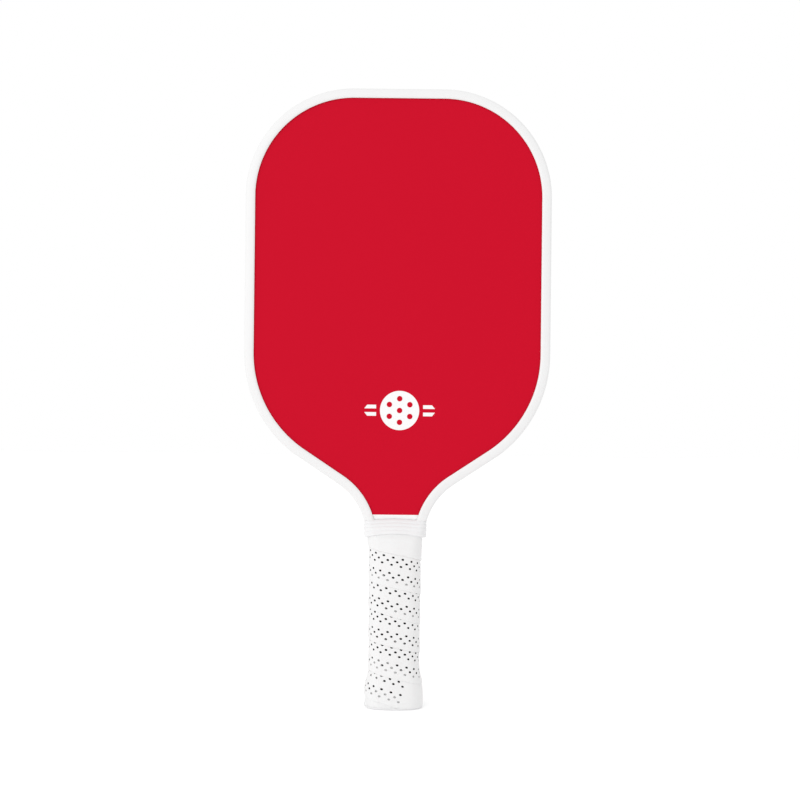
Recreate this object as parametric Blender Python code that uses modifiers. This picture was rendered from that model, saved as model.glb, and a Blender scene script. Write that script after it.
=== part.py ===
"""Pickleball paddle, in metres, with +Z from the butt up to the head.

The origin is the centre of the butt cap's resting face. X runs across the
hitting faces and Y through the thickness, with the front face towards -Y.
"""

from math import cos, hypot, pi, radians, sin

import bmesh
import bpy

MM = 0.001
GAP = 0.3 * MM  # clearance between pieces that touch

# The window is the outline of the hitting face that the edge guard leaves open.
WINDOW_TOP = 397.0 * MM
WINDOW_HALF_WIDTH = 93.5 * MM
TOP_CORNER_RADIUS = 64.2 * MM
LOWER_CORNER_RADIUS = 75.5 * MM
LOWER_CORNER_HEIGHT = 230.5 * MM  # where the straight sides end
SHOULDER_SLOPE = radians(33.5)  # of the straight shoulders, above the horizontal
SHOULDER_LENGTH = 30.5 * MM
THROAT_RADIUS = 48.4 * MM
THROAT_TURN = radians(41.5)  # how far the throat arc turns towards the handle
ARC_STEP = radians(7.5)

# How far each outline lies outside the window
PANEL_REACH = 4.2 * MM
TAPE_THICKNESS = 0.4 * MM
GUARD_INNER_REACH = PANEL_REACH + 2 * GAP + TAPE_THICKNESS
GUARD_WALL = 1.2 * MM
GUARD_REACH = GUARD_INNER_REACH + GUARD_WALL
GUARD_CORNER_RADIUS = 2.2 * MM
GUARD_CORNER_STEPS = 3
GUARD_INNER_CHAMFER = 0.9 * MM
GUARD_LIP_EDGE = 0.7 * MM  # thickness of the lip at its free edge
GUARD_LIP_SLOPE = 1.2 * MM  # width over which the lip thickens to the full wall
GUARD_END_HEIGHT = 122.4 * MM  # the guard and its tape are trimmed level here
GUARD_SPARE_TURN = radians(9.0)  # swept past the end, to be trimmed off
TAPE_HALF_WIDTH = 5.8 * MM
TRIM_SIZE = 60.0 * MM

# Layers of the panel, as half thicknesses from the middle plane
CORE_HALF = 5.5 * MM
FILM_THICKNESS = 0.3 * MM
FACE_THICKNESS = 0.8 * MM
FILM_MIDDLE = CORE_HALF + GAP + FILM_THICKNESS / 2
FACE_INNER = CORE_HALF + 2 * GAP + FILM_THICKNESS
FACE_MIDDLE = FACE_INNER + FACE_THICKNESS / 2
PANEL_HALF = FACE_INNER + FACE_THICKNESS

# Honeycomb
CELL_PITCH = 16.0 * MM
CELL_WALL = 1.4 * MM
CELL_EDGE_MARGIN = 2.2 * MM

# Tongue of the panel, inside the handle
TONGUE_HALF_WIDTH = 14.0 * MM
TONGUE_SOCKET_HALF_WIDTH = 12.6 * MM  # inside the butt cap
NECK_BASE = 105.0 * MM  # where the tongue starts to widen into the throat
SOCKET_TOP = 31.9 * MM  # the handle is rebated below this to take the butt cap
SOCKET_STEP = 0.4 * MM
HANDLE_END = 3.3 * MM

# Half handles
PALLET_HALF_WIDTH = 13.6 * MM  # at the face that is glued to the tongue
PALLET_OUTSIDE = 11.7 * MM
PALLET_CHAMFER = 4.4 * MM  # how far the sloped sides come in at full thickness
PALLET_SOCKET_HALF_WIDTH = 12.2 * MM
PALLET_SOCKET_OUTSIDE = 10.5 * MM
PALLET_RAMP_BASE = 109.0 * MM
PALLET_TOP = 119.0 * MM
PALLET_TIP_OUTSIDE = 7.95 * MM

CORNER_STEPS = 5  # segments in each corner of a rounded section

# Rounded sections of the handle's sleeves: height, half width, half depth, corner radius
WRAP_OUTSIDE = (
    (2.0, 19.2, 16.4, 9.6),
    (5.0, 19.3, 16.5, 9.7),
    (9.0, 19.3, 16.5, 9.7),
    (12.5, 19.1, 16.3, 9.6),
    (16.5, 18.4, 15.7, 9.2),
    (20.0, 17.6, 15.0, 8.8),
    (24.0, 17.0, 14.4, 8.5),
    (30.0, 16.8, 14.2, 8.4),
    (70.0, 17.0, 14.2, 8.5),
    (97.0, 17.3, 14.3, 8.5),
    (104.0, 17.7, 14.4, 8.3),
    (108.5, 18.0, 14.6, 8.0),
    (110.6, 18.1, 14.3, 7.6),
    (112.3, 18.2, 13.3, 6.8),
    (115.0, 18.3, 12.0, 5.6),
)
WRAP_INSIDE = (
    (2.0, 17.4, 14.8, 8.4),
    (5.0, 17.4, 14.8, 8.4),
    (9.0, 17.3, 14.7, 8.3),
    (12.5, 17.1, 14.4, 8.2),
    (16.5, 16.5, 13.8, 7.8),
    (20.0, 15.8, 13.1, 7.3),
    (24.0, 15.1, 12.4, 6.8),
    (30.0, 14.7, 12.0, 6.5),
    (70.0, 14.7, 12.0, 6.5),
    (97.0, 14.8, 12.0, 6.4),
    (104.0, 15.0, 12.0, 6.2),
    (108.5, 15.5, 12.0, 5.7),
    (110.6, 15.9, 11.7, 5.2),
    (112.3, 16.3, 11.2, 4.8),
    (115.0, 17.0, 10.4, 4.0),
)
CAP_OUTSIDE = (
    (0.0, 18.0, 15.0, 8.8),
    (0.3, 18.9, 15.9, 9.4),
    (0.8, 19.4, 16.4, 9.7),
    (1.4, 19.5, 16.5, 9.8),
    (1.6, 17.1, 14.5, 8.2),
    (9.0, 17.0, 14.4, 8.1),
    (12.5, 16.8, 14.1, 7.9),
    (16.5, 16.2, 13.5, 7.5),
    (20.0, 15.5, 12.8, 7.0),
    (24.0, 14.8, 12.1, 6.6),
    (31.6, 14.4, 11.7, 6.4),
)
CAP_INSIDE = (
    (3.0, 13.5, 10.8, 5.6),
    (31.6, 13.5, 10.8, 5.6),
)
FINISH_OUTSIDE = (
    (112.5, 18.65, 13.65, 7.0),
    (115.4, 18.85, 12.4, 5.9),
)
FINISH_INSIDE = (
    (112.5, 18.35, 13.3, 6.8),
    (115.4, 18.55, 12.05, 5.8),
)
COLLAR_INSIDE = (
    (110.6, 18.45, 14.7, 7.8),
    (112.1, 18.55, 13.95, 7.3),
    (112.3, 18.9, 14.0, 7.3),
    (115.6, 19.2, 12.7, 6.0),
    (117.4, 18.8, 10.1, 3.6),
    (119.6, 18.9, 8.7, 2.6),
    (122.1, 18.9, 7.6, 1.6),
)
COLLAR_BOTTOM = 110.6 * MM
COLLAR_TOP = 122.1 * MM
COLLAR_HALF_WIDTH = 20.3 * MM
COLLAR_BASE_HALF_DEPTH = 15.7 * MM
COLLAR_TOP_HALF_DEPTH = 9.9 * MM
COLLAR_BASE_CORNER = 8.6 * MM
COLLAR_TOP_CORNER = 4.6 * MM
COLLAR_LIP = 0.6 * MM  # how far the first and last edges are rounded in
RIB_COUNT = 4
RIB_HEIGHT = 0.3 * MM

# Blank disc in the cap's end
BADGE_RADIUS = 11.0 * MM
BADGE_THICKNESS = 0.6 * MM
BADGE_RECESS_DEPTH = 1.0 * MM
BADGE_EDGE = 0.2 * MM
DISC_SEGMENTS = 40

# Staples through the butt cap
STAPLE_HEIGHT = 16.5 * MM
STAPLE_HALF_CROWN = 5.0 * MM
STAPLE_WIRE_RADIUS = 0.45 * MM
STAPLE_CROWN_DEPTH = 13.0 * MM  # of the crown, from the middle plane
STAPLE_TIP_DEPTH = 8.4 * MM
STAPLE_BEND_RADIUS = 1.0 * MM
STAPLE_BEND_STEPS = 3

WELD = 0.05 * MM
SHARP_ANGLE = radians(35)


# Scene and materials


def clear_scene():
    for item in list(bpy.data.objects):
        bpy.data.objects.remove(item, do_unlink=True)


def new_collection(name):
    collection = bpy.data.collections.new(name)
    bpy.context.scene.collection.children.link(collection)
    return collection


def material(name, colour, roughness):
    made = bpy.data.materials.new(name)
    made.use_nodes = True
    shader = made.node_tree.nodes["Principled BSDF"]
    shader.inputs["Base Color"].default_value = (*colour, 1.0)
    shader.inputs["Roughness"].default_value = roughness
    shader.inputs["Metallic"].default_value = 0.0
    return made


def metal(name, colour, roughness):
    made = material(name, colour, roughness)
    made.node_tree.nodes["Principled BSDF"].inputs["Metallic"].default_value = 1.0
    return made


def add_object(name, data, collection, surface=None):
    made = bpy.data.objects.new(name, data)
    collection.objects.link(made)
    if surface:
        data.materials.append(surface)
    return made


# Outlines


def arc(centre, radius, start, end, steps=None):
    """Points on an arc from one angle to another, both ends included."""
    steps = steps or round(abs(end - start) / ARC_STEP)
    angles = [start + (end - start) * i / steps for i in range(steps + 1)]
    return [(centre[0] + radius * cos(a), centre[1] + radius * sin(a)) for a in angles]


def head_side(reach, extra_turn=0.0):
    """Right side of the head, from the top edge down to the neck.

    reach is how far the outline lies outside the window, and extra_turn is
    how much further the throat arc runs towards the handle.
    """
    top_centre = (
        WINDOW_HALF_WIDTH - TOP_CORNER_RADIUS,
        WINDOW_TOP - TOP_CORNER_RADIUS,
    )
    low_centre = (WINDOW_HALF_WIDTH - LOWER_CORNER_RADIUS, LOWER_CORNER_HEIGHT)
    low_end = SHOULDER_SLOPE - pi / 2
    outward = (sin(SHOULDER_SLOPE), -cos(SHOULDER_SLOPE))
    inward_run = (-cos(SHOULDER_SLOPE), -sin(SHOULDER_SLOPE))
    across = LOWER_CORNER_RADIUS + THROAT_RADIUS
    throat_centre = (
        low_centre[0] + across * outward[0] + SHOULDER_LENGTH * inward_run[0],
        low_centre[1] + across * outward[1] + SHOULDER_LENGTH * inward_run[1],
    )
    throat_start = low_end + pi
    throat_end = throat_start + THROAT_TURN + extra_turn
    return (
        arc(top_centre, TOP_CORNER_RADIUS + reach, pi / 2, 0.0)
        + arc(low_centre, LOWER_CORNER_RADIUS + reach, 0.0, low_end)
        + arc(throat_centre, THROAT_RADIUS - reach, throat_start, throat_end)
    )


def mirrored(side):
    """The left side of an outline, from its lower end back up to the top."""
    return [(-x, z) for x, z in reversed(side)]


def panel_outline():
    """Closed outline of the panel: the head, the neck and the stepped tongue."""
    side = head_side(PANEL_REACH) + [
        (TONGUE_HALF_WIDTH, NECK_BASE),
        (TONGUE_HALF_WIDTH, SOCKET_TOP),
        (TONGUE_SOCKET_HALF_WIDTH, SOCKET_TOP),
        (TONGUE_SOCKET_HALF_WIDTH, HANDLE_END),
    ]
    return side + mirrored(side)


def inside(point, outline):
    """Whether a point lies inside a closed outline."""
    x, z = point
    crossings = 0
    for (ax, az), (bx, bz) in zip(outline, outline[1:] + outline[:1]):
        if (az > z) != (bz > z) and x < ax + (z - az) * (bx - ax) / (bz - az):
            crossings += 1
    return crossings % 2 == 1


def distance_to_edge(point, outline):
    """Distance from a point to the nearest edge of a closed outline."""
    x, z = point
    nearest = []
    for (ax, az), (bx, bz) in zip(outline, outline[1:] + outline[:1]):
        dx, dz = bx - ax, bz - az
        length = dx * dx + dz * dz
        along = ((x - ax) * dx + (z - az) * dz) / length if length else 0.0
        along = min(1.0, max(0.0, along))
        nearest.append(hypot(x - ax - along * dx, z - az - along * dz))
    return min(nearest)


def honeycomb_cells(outline):
    """Hexagons on a staggered grid that stay clear of the outline's edge."""
    row_height = CELL_PITCH * sin(pi / 3)
    corner = (CELL_PITCH - CELL_WALL) / 2 / cos(pi / 6)
    hexagon = [(corner * sin(i * pi / 3), corner * cos(i * pi / 3)) for i in range(6)]
    rows = int(WINDOW_TOP / row_height) + 2
    columns = int(WINDOW_HALF_WIDTH / CELL_PITCH) + 2
    cells = []
    for row in range(rows):
        shift = CELL_PITCH / 2 if row % 2 else 0.0
        for column in range(-columns, columns + 1):
            centre = (column * CELL_PITCH + shift, row * row_height)
            cell = [(centre[0] + dx, centre[1] + dz) for dx, dz in hexagon]
            if all(
                inside(point, outline)
                and distance_to_edge(point, outline) >= CELL_EDGE_MARGIN
                for point in cell
            ):
                cells.append(cell)
    return cells


# Shapes


def smooth(mesh):
    """Smooth shading, kept sharp across real edges."""
    mesh.shade_smooth()
    mesh.set_sharp_from_angle(angle=SHARP_ANGLE)


def poly_spline(curve, points, closed=True):
    spline = curve.splines.new("POLY")
    spline.points.add(len(points) - 1)
    for target, (x, y) in zip(spline.points, points):
        target.co = (x, y, 0.0, 1.0)
    spline.use_cyclic_u = closed
    return spline


def plate(name, outlines, middle, thickness, surface, collection):
    """A flat plate that stands upright, with its middle plane at y = middle."""
    curve = bpy.data.curves.new(name, "CURVE")
    curve.dimensions = "2D"
    curve.fill_mode = "BOTH"
    curve.extrude = thickness / 2
    for outline in outlines:
        poly_spline(curve, outline)
    made = add_object(name, curve, collection, surface)
    made.location.y = middle
    made.rotation_euler.x = pi / 2
    return made


def welded(name, drawn, collection, surface=None):
    """The closed mesh of a bevelled curve, which takes the curve's place."""
    bpy.context.view_layer.update()
    evaluated = drawn.evaluated_get(bpy.context.evaluated_depsgraph_get())
    mesh = bpy.data.meshes.new_from_object(evaluated)
    mesh.name = name
    mesh.materials.clear()
    shape = bmesh.new()
    shape.from_mesh(mesh)
    bmesh.ops.remove_doubles(shape, verts=shape.verts, dist=WELD)
    bmesh.ops.recalc_face_normals(shape, faces=shape.faces)
    shape.to_mesh(mesh)
    shape.free()
    bpy.data.objects.remove(drawn, do_unlink=True)
    smooth(mesh)
    return add_object(name, mesh, collection, surface)


def swept_strip(name, section, path, surface, parts, guides):
    """A strip of constant section along an upright open path.

    The section's X points to the right of the path and its Y through the thickness.
    """
    profile = bpy.data.curves.new(name + "_section", "CURVE")
    profile.dimensions = "2D"
    poly_spline(profile, section)
    guide = add_object(name + "_section", profile, guides)
    guide.hide_render = True
    guide.display_type = "WIRE"
    curve = bpy.data.curves.new(name, "CURVE")
    curve.dimensions = "2D"
    curve.bevel_mode = "OBJECT"
    curve.bevel_object = guide
    curve.use_fill_caps = True
    poly_spline(curve, path, closed=False)
    drawn = add_object(name + "_line", curve, parts)
    made = welded(name, drawn, parts, surface)
    made.rotation_euler.x = pi / 2
    return made


def rounded_section(half_width, half_depth, corner, height):
    """Points round a rounded rectangle at one height."""
    points = []
    for quarter, (side_x, side_y) in enumerate(((1, 1), (-1, 1), (-1, -1), (1, -1))):
        centre_x = side_x * (half_width - corner)
        centre_y = side_y * (half_depth - corner)
        for step in range(CORNER_STEPS + 1):
            angle = (quarter + step / CORNER_STEPS) * pi / 2
            points.append(
                (centre_x + corner * cos(angle), centre_y + corner * sin(angle), height)
            )
    return points


def sections(stations):
    """Rounded sections from a table of sizes in millimetres."""
    return [
        rounded_section(width * MM, depth * MM, corner * MM, height * MM)
        for height, width, depth, corner in stations
    ]


def loft(name, rings, surface, collection, closed_round=False):
    """A solid skinned over rings of equal point counts, each anticlockwise from above.

    With closed_round the last ring joins the first, which makes a sleeve;
    otherwise the first and last rings are filled as end faces.
    """
    shape = bmesh.new()
    loops = [[shape.verts.new(point) for point in ring] for ring in rings]
    pairs = list(zip(loops, loops[1:]))
    if closed_round:
        pairs.append((loops[-1], loops[0]))
    for lower, upper in pairs:
        count = len(lower)
        for i in range(count):
            j = (i + 1) % count
            shape.faces.new((lower[i], lower[j], upper[j], upper[i]))
    if not closed_round:
        shape.faces.new(reversed(loops[0]))
        shape.faces.new(loops[-1])
    mesh = bpy.data.meshes.new(name)
    shape.to_mesh(mesh)
    shape.free()
    smooth(mesh)
    return add_object(name, mesh, collection, surface)


def sleeve(name, outside, inner, surface, collection):
    """An open-ended tube between an outer and an inner set of rings."""
    return loft(name, outside + inner[::-1], surface, collection, closed_round=True)


def block(name, size, height, collection):
    """A cube centred on the Z axis."""
    shape = bmesh.new()
    bmesh.ops.create_cube(shape, size=size)
    mesh = bpy.data.meshes.new(name)
    shape.to_mesh(mesh)
    shape.free()
    made = add_object(name, mesh, collection)
    made.location.z = height
    return made


def disc(name, radius, bottom, top, collection, surface=None):
    """A round disc on the Z axis."""
    shape = bmesh.new()
    bmesh.ops.create_cone(
        shape,
        cap_ends=True,
        segments=DISC_SEGMENTS,
        radius1=radius,
        radius2=radius,
        depth=top - bottom,
    )
    mesh = bpy.data.meshes.new(name)
    shape.to_mesh(mesh)
    shape.free()
    smooth(mesh)
    made = add_object(name, mesh, collection, surface)
    made.location.z = (bottom + top) / 2
    return made


def staple_path(side):
    """Points of a staple: out along one leg, over the crown and back along the other."""
    leg = [(-STAPLE_HALF_CROWN, STAPLE_TIP_DEPTH)]
    bend_centre = (
        -STAPLE_HALF_CROWN + STAPLE_BEND_RADIUS,
        STAPLE_CROWN_DEPTH - STAPLE_BEND_RADIUS,
    )
    leg += arc(bend_centre, STAPLE_BEND_RADIUS, pi, pi / 2, STAPLE_BEND_STEPS)
    half = [(x, side * y, STAPLE_HEIGHT) for x, y in leg]
    return half + [(-x, y, z) for x, y, z in reversed(half)]


def wire(name, points, radius, collection, surface=None):
    """A round wire along a line of points, as a welded mesh."""
    curve = bpy.data.curves.new(name, "CURVE")
    curve.dimensions = "3D"
    curve.bevel_depth = radius
    curve.bevel_resolution = 2
    curve.use_fill_caps = True
    spline = curve.splines.new("POLY")
    spline.points.add(len(points) - 1)
    for target, point in zip(spline.points, points):
        target.co = (*point, 1.0)
    drawn = add_object(name + "_line", curve, collection)
    return welded(name, drawn, collection, surface)


def cut(target, cutter):
    """Takes the cutter's shape out of the target."""
    cutter.hide_render = True
    cutter.display_type = "WIRE"
    modifier = target.modifiers.new("cut_" + cutter.name, "BOOLEAN")
    modifier.operation = "DIFFERENCE"
    modifier.solver = "EXACT"
    modifier.object = cutter


# Sub-parts


def make_panel(parts):
    """Honeycomb core, its two bonding films and the two hard faces."""
    outline = panel_outline()
    polymer = material("core_polymer", (0.78, 0.77, 0.72), 0.6)
    core = [outline] + honeycomb_cells(outline)
    plate("honeycomb_core", core, 0.0, 2 * CORE_HALF, polymer, parts)
    for end, side in (("front", -1), ("back", 1)):
        film = material(end + "_film", (0.85, 0.86, 0.84), 0.5)
        middle = side * FILM_MIDDLE
        plate(end + "_core_film", [outline], middle, FILM_THICKNESS, film, parts)
        face = material(end + "_face_finish", (0.63, 0.008, 0.027), 0.45)
        middle = side * FACE_MIDDLE
        plate(end + "_face", [outline], middle, FACE_THICKNESS, face, parts)


def guard_section():
    """Closed U-shaped section of the edge guard, opening towards the head."""
    lip_inside = PANEL_HALF + GAP
    lip_outside = lip_inside + GUARD_WALL
    corner_centre = (
        GUARD_REACH - GUARD_CORNER_RADIUS,
        lip_outside - GUARD_CORNER_RADIUS,
    )
    half = [
        (GUARD_INNER_REACH, lip_inside - GUARD_INNER_CHAMFER),
        (GUARD_INNER_REACH - GUARD_INNER_CHAMFER, lip_inside),
        (0.0, lip_inside),
        (0.0, lip_inside + GUARD_LIP_EDGE),
        (GUARD_LIP_SLOPE, lip_outside),
    ]
    half += arc(corner_centre, GUARD_CORNER_RADIUS, pi / 2, 0.0, GUARD_CORNER_STEPS)
    return half + [(u, -v) for u, v in reversed(half)]


def make_guard(parts, guides):
    """The edge guard and the tape that holds it to the panel's edge."""
    window = head_side(0.0, GUARD_SPARE_TURN)
    path = (mirrored(window) + window)[::-1]
    tape = material("tape_finish", (0.8, 0.8, 0.78), 0.6)
    tape_inner = PANEL_REACH + GAP
    tape_section = [
        (tape_inner, -TAPE_HALF_WIDTH),
        (tape_inner + TAPE_THICKNESS, -TAPE_HALF_WIDTH),
        (tape_inner + TAPE_THICKNESS, TAPE_HALF_WIDTH),
        (tape_inner, TAPE_HALF_WIDTH),
    ]
    strip = swept_strip("edge_guard_tape", tape_section, path, tape, parts, guides)
    moulding = material("guard_finish", (0.86, 0.87, 0.88), 0.4)
    guard = swept_strip("edge_guard", guard_section(), path, moulding, parts, guides)
    trim = block("guard_trim", TRIM_SIZE, GUARD_END_HEIGHT - TRIM_SIZE / 2, guides)
    cut(strip, trim)
    cut(guard, trim)


def pallet_ring(height, half_width, outside, side):
    """Section of a half handle: widest at the glued face, with sloped sides."""
    inside_face = PANEL_HALF + GAP
    slope = PALLET_CHAMFER / (PALLET_OUTSIDE - inside_face)
    shoulder = half_width - slope * (outside - inside_face)
    half = [(half_width, inside_face), (shoulder, outside)]
    ring = half + [(-x, y) for x, y in reversed(half)]
    return [(x, side * y, height) for x, y in ring[::side]]


def make_pallet(end, side, parts):
    """Half handle, rebated at the butt and ramped down to the face at the neck."""
    wood = material(end + "_pallet_wood", (0.62, 0.5, 0.33), 0.8)
    stations = (
        (HANDLE_END, PALLET_SOCKET_HALF_WIDTH, PALLET_SOCKET_OUTSIDE),
        (SOCKET_TOP, PALLET_SOCKET_HALF_WIDTH, PALLET_SOCKET_OUTSIDE),
        (SOCKET_TOP + SOCKET_STEP, PALLET_HALF_WIDTH, PALLET_OUTSIDE),
        (PALLET_RAMP_BASE, PALLET_HALF_WIDTH, PALLET_OUTSIDE),
        (PALLET_TOP, PALLET_HALF_WIDTH, PALLET_TIP_OUTSIDE),
    )
    rings = [
        pallet_ring(height, half_width, outside, side)
        for height, half_width, outside in stations
    ]
    return loft("handle_pallet_" + end, rings, wood, parts)


def make_butt_cap(parts, cutters):
    """Flared cup on the handle's end, with a round recess under it."""
    plastic = material("cap_finish", (0.84, 0.85, 0.86), 0.45)
    rings = sections(CAP_OUTSIDE) + sections(CAP_INSIDE)[::-1]
    cap = loft("butt_cap", rings, plastic, parts)
    recess = disc(
        "badge_recess",
        BADGE_RADIUS + GAP,
        -BADGE_RECESS_DEPTH,
        BADGE_RECESS_DEPTH,
        cutters,
    )
    cut(cap, recess)
    return cap


def make_badge(parts):
    """Blank disc in the recess, set back a little from the resting face."""
    resin = material("badge_finish", (0.75, 0.76, 0.78), 0.25)
    top = BADGE_RECESS_DEPTH - GAP
    badge = disc("butt_badge", BADGE_RADIUS, top - BADGE_THICKNESS, top, parts, resin)
    bevel = badge.modifiers.new("edge", "BEVEL")
    bevel.width = BADGE_EDGE
    bevel.segments = 1
    bevel.limit_method = "ANGLE"
    bevel.angle_limit = SHARP_ANGLE


def make_staple(end, side, cap, pallet, parts, cutters):
    """Staple whose legs go through the butt cap into a half handle."""
    steel = metal(end + "_staple_steel", (0.55, 0.55, 0.56), 0.3)
    path = staple_path(side)
    wire("butt_cap_staple_" + end, path, STAPLE_WIRE_RADIUS, parts, steel)
    hole = wire("staple_hole_" + end, path, STAPLE_WIRE_RADIUS + GAP, cutters)
    cut(cap, hole)
    cut(pallet, hole)


def make_grip(parts):
    """Wrap, the tape that binds its upper end, and the rubber collar."""
    leather = material("wrap_finish", (0.86, 0.86, 0.86), 0.6)
    wrap = sections(WRAP_OUTSIDE), sections(WRAP_INSIDE)
    sleeve("grip_wrap", *wrap, leather, parts)
    tape = material("finishing_tape_finish", (0.82, 0.83, 0.84), 0.5)
    binding = sections(FINISH_OUTSIDE), sections(FINISH_INSIDE)
    sleeve("grip_finishing_tape", *binding, tape, parts)
    rubber = material("collar_finish", (0.85, 0.86, 0.87), 0.55)
    collar = collar_outside(), sections(COLLAR_INSIDE)
    sleeve("grip_collar", *collar, rubber, parts)


def collar_outside():
    """Rings up the collar's outside: a slanted wall with rounded ribs."""
    rings = []
    last = 2 * RIB_COUNT
    for step in range(last + 1):
        share = step / last
        height = COLLAR_BOTTOM + share * (COLLAR_TOP - COLLAR_BOTTOM)
        if step in (0, last):
            swell = -COLLAR_LIP
        else:
            swell = RIB_HEIGHT if step % 2 else 0.0
        depth = COLLAR_BASE_HALF_DEPTH
        depth += share * (COLLAR_TOP_HALF_DEPTH - COLLAR_BASE_HALF_DEPTH)
        corner = COLLAR_BASE_CORNER
        corner += share * (COLLAR_TOP_CORNER - COLLAR_BASE_CORNER)
        rings.append(
            rounded_section(COLLAR_HALF_WIDTH + swell, depth + swell, corner, height)
        )
    return rings


def main():
    clear_scene()
    parts = new_collection("pickleball_paddle")
    guides = new_collection("cutters_and_guides")
    make_panel(parts)
    make_guard(parts, guides)
    cap = make_butt_cap(parts, guides)
    make_badge(parts)
    for end, side in (("front", -1), ("back", 1)):
        pallet = make_pallet(end, side, parts)
        make_staple(end, side, cap, pallet, parts, guides)
    make_grip(parts)


main()
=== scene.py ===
"""Looks of the pickleball paddle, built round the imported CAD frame.

Lengths are in metres. +Z runs from the butt up to the head, X across the faces
and Y through the thickness, with the front face towards -Y.
"""

from math import atan2, cos, hypot, pi, radians, sin, sqrt

import bmesh
import bpy
from mathutils import Matrix, Vector


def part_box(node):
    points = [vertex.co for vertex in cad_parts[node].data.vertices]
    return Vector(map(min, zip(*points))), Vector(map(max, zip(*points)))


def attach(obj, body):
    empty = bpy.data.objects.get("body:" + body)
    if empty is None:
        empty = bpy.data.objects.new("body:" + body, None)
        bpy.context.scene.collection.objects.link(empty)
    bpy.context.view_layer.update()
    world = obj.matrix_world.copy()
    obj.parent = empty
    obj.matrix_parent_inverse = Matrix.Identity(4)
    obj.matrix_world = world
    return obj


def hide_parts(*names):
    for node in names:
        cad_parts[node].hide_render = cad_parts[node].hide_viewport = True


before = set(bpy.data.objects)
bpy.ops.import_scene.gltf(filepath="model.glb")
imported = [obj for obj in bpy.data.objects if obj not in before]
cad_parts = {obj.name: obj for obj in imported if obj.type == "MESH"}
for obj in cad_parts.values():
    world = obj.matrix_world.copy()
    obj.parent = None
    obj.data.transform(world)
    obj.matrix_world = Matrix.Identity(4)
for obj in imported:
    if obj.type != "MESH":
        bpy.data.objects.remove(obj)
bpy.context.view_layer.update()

MM = 0.001

# Camera, light and floor
CAMERA_PLACE = (2.2 * MM, -0.905, 200.45 * MM)
CAMERA_LENS = 61.99  # mm, on a 36 mm sensor
CAMERA_ROLL = radians(0.62)
SKY_STRENGTH = 1.0
SUN_STRENGTH = 0.84
SUN_ANGLE = radians(50)
SUN_FROM = (-0.63, -0.73, 0.26)
FLOOR_HALF = 4.0
FLOOR_CELLS = 8
FLOOR_GLOW = 0.12

SHARP_ANGLE = radians(38)  # shading stays sharp over steeper edges
WELD = 1e-7

# Outline of the window that the edge guard leaves open
WINDOW_TOP = 397.0 * MM
WINDOW_HALF_WIDTH = 93.5 * MM
TOP_CORNER_RADIUS = 64.2 * MM
LOWER_CORNER_RADIUS = 75.5 * MM
LOWER_CORNER_HEIGHT = 230.5 * MM
SHOULDER_SLOPE = radians(33.5)
SHOULDER_LENGTH = 30.5 * MM
THROAT_RADIUS = 48.4 * MM
THROAT_TURN = radians(41.5)
SPARE_TURN = radians(9.0)
ARC_STEP = radians(1.8)
STRAIGHT_STEP = 6.0 * MM

# Edge guard
GUARD_REACH = 6.4 * MM
GUARD_WALL = 1.2 * MM
GUARD_INNER_REACH = GUARD_REACH - GUARD_WALL
GUARD_OUTSIDE = 8.7 * MM
GUARD_INSIDE = 7.5 * MM
GUARD_CORNER = 2.2 * MM
GUARD_CROWN = 0.55 * MM  # fall of the shown face towards the outer corner
GUARD_CROWN_SLOPE = radians(14)
GUARD_LIP_EDGE = 0.7 * MM
GUARD_LIP_SLOPE = 1.2 * MM
GUARD_LIP_ROUND = 0.25 * MM
GUARD_LIP_BASE = 2.0 * MM  # reach of the first point on the lip's underside
GUARD_LIP_TURN = 0.62 * pi  # where the lip's rounded edge runs into its slope
GUARD_LIP_CURVE = (  # shares of the slope's width, and of its rise
    (0.62, 0.72),
    (1.0, 0.94),
    (1.5, 1.0),
)
GUARD_CROWN_CURVE = (  # reach in mm, and share of the crown's fall
    (2.8, 0.2),
    (3.8, 0.55),
)
GUARD_EDGE_FLAT = 3.0 * MM  # the edge's outside is flat up to here
GUARD_INNER_CHAMFER = 0.9 * MM
GUARD_END = 121.8 * MM  # a little inside the collar's top
SEAM_HALF = 0.35 * MM  # faint moulding seam round the middle of the edge
SEAM_DEPTH = 0.06 * MM

# Printed faces
PRINT_BASE = 125.6 * MM  # the colour ends here, above the handle
PRINT_EDGE = 0.12 * MM  # width over which it ends
PRINT_SOFT = 0.06 * MM  # half width of the mark's edges
FACE_WEAVE = 0.9 * MM
EMBLEM_CENTRE = (2.0 * MM, 193.6 * MM)
EMBLEM_RADIUS = 12.8 * MM
EMBLEM_RING = 7.7 * MM
EMBLEM_HOLE = 1.8 * MM
BAR_START = 15.3 * MM
BAR_END = 24.0 * MM
BAR_PLACE = 2.4 * MM
BAR_HALF = 1.2 * MM
BAR_SLANT = 0.8  # the bars' outer ends are cut back towards their outer sides

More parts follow.
